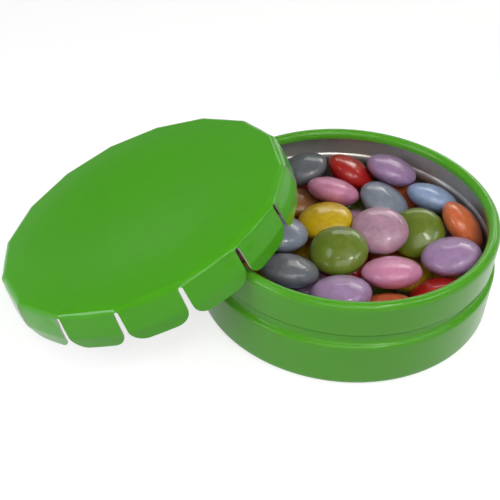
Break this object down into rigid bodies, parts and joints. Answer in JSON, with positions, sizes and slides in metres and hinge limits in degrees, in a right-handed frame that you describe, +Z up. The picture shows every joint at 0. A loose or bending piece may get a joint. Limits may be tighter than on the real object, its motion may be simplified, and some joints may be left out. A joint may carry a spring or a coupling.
{
  "type": "click-lid sweet tin",
  "caption": "Low round press-to-open tin with a rolled rim and pressed groove, filled with sugar-coated lentils; its faceted lid has a clicking panel and skirt fingers and leans on the rim.",
  "frame": {"origin": "centre of the cup's foot, on the surface it stands on", "axes": "+Z up; +X away from the leaning lid, along the long side of the whole; the lid's high edge is towards +X"},
  "size_m": [0.1087, 0.0678, 0.031],
  "materials": {
    "green_lacquer": "glossy stoved green lacquer on tinplate; the cup's inside is bare tinplate",
    "sugar_blue": "polished sugar shell, faintly mottled",
    "sugar_brown": "polished sugar shell, faintly mottled",
    "sugar_grey": "polished sugar shell, faintly mottled",
    "sugar_lilac": "polished sugar shell, faintly mottled",
    "sugar_mauve": "polished sugar shell, faintly mottled",
    "sugar_olive": "polished sugar shell, faintly mottled",
    "sugar_orange": "polished sugar shell, faintly mottled",
    "sugar_pink": "polished sugar shell, faintly mottled",
    "sugar_red": "polished sugar shell, faintly mottled",
    "sugar_slate": "polished sugar shell, faintly mottled",
    "sugar_yellow": "polished sugar shell, faintly mottled"
  },
  "bodies": {
    "cup": {"tin_base": "green_lacquer", "lentil_grey_blue": "sugar_slate", "lentil_red": "sugar_red", "lentil_lilac": "sugar_lilac", "lentil_brown": "sugar_brown", "lentil_pink": "sugar_pink", "lentil_pale_grey": "sugar_grey", "lentil_periwinkle": "sugar_blue", "lentil_yellow": "sugar_yellow", "lentil_olive_right": "sugar_olive", "lentil_orange": "sugar_orange", "lentil_mauve_middle": "sugar_mauve", "lentil_mauve_small": "sugar_mauve", "lentil_olive_left": "sugar_olive", "lentil_grey_edge": "sugar_grey", "lentil_slate": "sugar_slate", "lentil_yellow_edge": "sugar_yellow", "lentil_pink_front": "sugar_pink", "lentil_yellow_right": "sugar_yellow", "lentil_lilac_right": "sugar_lilac", "lentil_lilac_front": "sugar_lilac", "lentil_orange_front": "sugar_orange", "lentil_red_front": "sugar_red", "lentil_grey_left": "sugar_grey", "lentil_lilac_left": "sugar_lilac", "lentil_pink_left": "sugar_pink", "lentil_red_left": "sugar_red", "lentils_below_yellow": "sugar_yellow", "lentils_below_lilac": "sugar_lilac", "lentils_below_green": "sugar_olive", "lentils_below_red": "sugar_red", "lentils_below_orange": "sugar_orange", "lentils_below_blue": "sugar_blue"},
    "lid": {"lid_rim": "green_lacquer"},
    "panel": {"lid_panel": "green_lacquer"},
    "finger_01": {"lid_finger_01": "green_lacquer"},
    "finger_02": {"lid_finger_02": "green_lacquer"},
    "finger_03": {"lid_finger_03": "green_lacquer"},
    "finger_04": {"lid_finger_04": "green_lacquer"},
    "finger_05": {"lid_finger_05": "green_lacquer"},
    "finger_06": {"lid_finger_06": "green_lacquer"},
    "finger_07": {"lid_finger_07": "green_lacquer"},
    "finger_08": {"lid_finger_08": "green_lacquer"},
    "finger_09": {"lid_finger_09": "green_lacquer"},
    "finger_10": {"lid_finger_10": "green_lacquer"},
    "finger_11": {"lid_finger_11": "green_lacquer"},
    "finger_12": {"lid_finger_12": "green_lacquer"},
    "finger_13": {"lid_finger_13": "green_lacquer"},
    "finger_14": {"lid_finger_14": "green_lacquer"},
    "finger_15": {"lid_finger_15": "green_lacquer"},
    "finger_16": {"lid_finger_16": "green_lacquer"}
  },
  "joints": [
    {"name": "lid_lift", "type": "slide", "parent": "cup", "child": "lid", "axis": [0, 0, 1], "range_m": [0, 0.04]},
    {"name": "panel_click", "type": "slide", "parent": "lid", "child": "panel", "axis": [-0.3516, 0, 0.9362], "range_m": [0, 0.0012]},
    {"name": "finger_01_flex", "type": "hinge", "parent": "lid", "child": "finger_01", "pos_m": [-0.01508, 0.00558, 0.02988], "axis": [-0.1954, 0.978, -0.0734], "range_deg": [0, 7.4]},
    {"name": "finger_02_flex", "type": "hinge", "parent": "lid", "child": "finger_02", "pos_m": [-0.01978, 0.01723, 0.02811], "axis": [-0.5309, 0.8236, -0.1994], "range_deg": [0, 7.4]},
    {"name": "finger_03_flex", "type": "hinge", "parent": "lid", "child": "finger_03", "pos_m": [-0.02829, 0.02607, 0.02492], "axis": [-0.7856, 0.5439, -0.295], "range_deg": [0, 7.4]},
    {"name": "finger_04_flex", "type": "hinge", "parent": "lid", "child": "finger_04", "pos_m": [-0.03931, 0.03075, 0.02078], "axis": [-0.9206, 0.1814, -0.3457], "range_deg": [0, 7.4]},
    {"name": "finger_05_flex", "type": "hinge", "parent": "lid", "child": "finger_05", "pos_m": [-0.05118, 0.03058, 0.01632], "axis": [-0.9155, -0.2088, -0.3438], "range_deg": [0, 7.4]},
    {"name": "finger_06_flex", "type": "hinge", "parent": "lid", "child": "finger_06", "pos_m": [-0.06208, 0.02556, 0.01223], "axis": [-0.7711, -0.5671, -0.2896], "range_deg": [0, 7.4]},
    {"name": "finger_07_flex", "type": "hinge", "parent": "lid", "child": "finger_07", "pos_m": [-0.07036, 0.01647, 0.00912], "axis": [-0.5092, -0.8391, -0.1912], "range_deg": [0, 7.4]},
    {"name": "finger_08_flex", "type": "hinge", "parent": "lid", "child": "finger_08", "pos_m": [-0.07474, 0.00469, 0.00747], "axis": [-0.1698, -0.9834, -0.0638], "range_deg": [0, 7.4]},
    {"name": "finger_09_flex", "type": "hinge", "parent": "lid", "child": "finger_09", "pos_m": [-0.07458, -0.00798, 0.00753], "axis": [0.1954, -0.978, 0.0734], "range_deg": [0, 7.4]},
    {"name": "finger_10_flex", "type": "hinge", "parent": "lid", "child": "finger_10", "pos_m": [-0.06988, -0.01963, 0.0093], "axis": [0.5309, -0.8236, 0.1994], "range_deg": [0, 7.4]},
    {"name": "finger_11_flex", "type": "hinge", "parent": "lid", "child": "finger_11", "pos_m": [-0.06137, -0.02847, 0.01249], "axis": [0.7856, -0.5439, 0.295], "range_deg": [0, 7.4]},
    {"name": "finger_12_flex", "type": "hinge", "parent": "lid", "child": "finger_12", "pos_m": [-0.05035, -0.03315, 0.01663], "axis": [0.9206, -0.1814, 0.3457], "range_deg": [0, 7.4]},
    {"name": "finger_13_flex", "type": "hinge", "parent": "lid", "child": "finger_13", "pos_m": [-0.03848, -0.03298, 0.02109], "axis": [0.9155, 0.2088, 0.3438], "range_deg": [0, 7.4]},
    {"name": "finger_14_flex", "type": "hinge", "parent": "lid", "child": "finger_14", "pos_m": [-0.02758, -0.02796, 0.02518], "axis": [0.7711, 0.5671, 0.2896], "range_deg": [0, 7.4]},
    {"name": "finger_15_flex", "type": "hinge", "parent": "lid", "child": "finger_15", "pos_m": [-0.0193, -0.01887, 0.02829], "axis": [0.5092, 0.8391, 0.1912], "range_deg": [0, 7.4]},
    {"name": "finger_16_flex", "type": "hinge", "parent": "lid", "child": "finger_16", "pos_m": [-0.01492, -0.00709, 0.02994], "axis": [0.1698, 0.9834, 0.0638], "range_deg": [0, 7.4]}
  ],
  "couplings": [
    {"joint": "finger_01_flex", "follows": "panel_click", "rad_per_m": 107.6},
    {"joint": "finger_02_flex", "follows": "panel_click", "rad_per_m": 107.6},
    {"joint": "finger_03_flex", "follows": "panel_click", "rad_per_m": 107.6},
    {"joint": "finger_04_flex", "follows": "panel_click", "rad_per_m": 107.6},
    {"joint": "finger_05_flex", "follows": "panel_click", "rad_per_m": 107.6},
    {"joint": "finger_06_flex", "follows": "panel_click", "rad_per_m": 107.6},
    {"joint": "finger_07_flex", "follows": "panel_click", "rad_per_m": 107.6},
    {"joint": "finger_08_flex", "follows": "panel_click", "rad_per_m": 107.6},
    {"joint": "finger_09_flex", "follows": "panel_click", "rad_per_m": 107.6},
    {"joint": "finger_10_flex", "follows": "panel_click", "rad_per_m": 107.6},
    {"joint": "finger_11_flex", "follows": "panel_click", "rad_per_m": 107.6},
    {"joint": "finger_12_flex", "follows": "panel_click", "rad_per_m": 107.6},
    {"joint": "finger_13_flex", "follows": "panel_click", "rad_per_m": 107.6},
    {"joint": "finger_14_flex", "follows": "panel_click", "rad_per_m": 107.6},
    {"joint": "finger_15_flex", "follows": "panel_click", "rad_per_m": 107.6},
    {"joint": "finger_16_flex", "follows": "panel_click", "rad_per_m": 107.6}
  ]
}
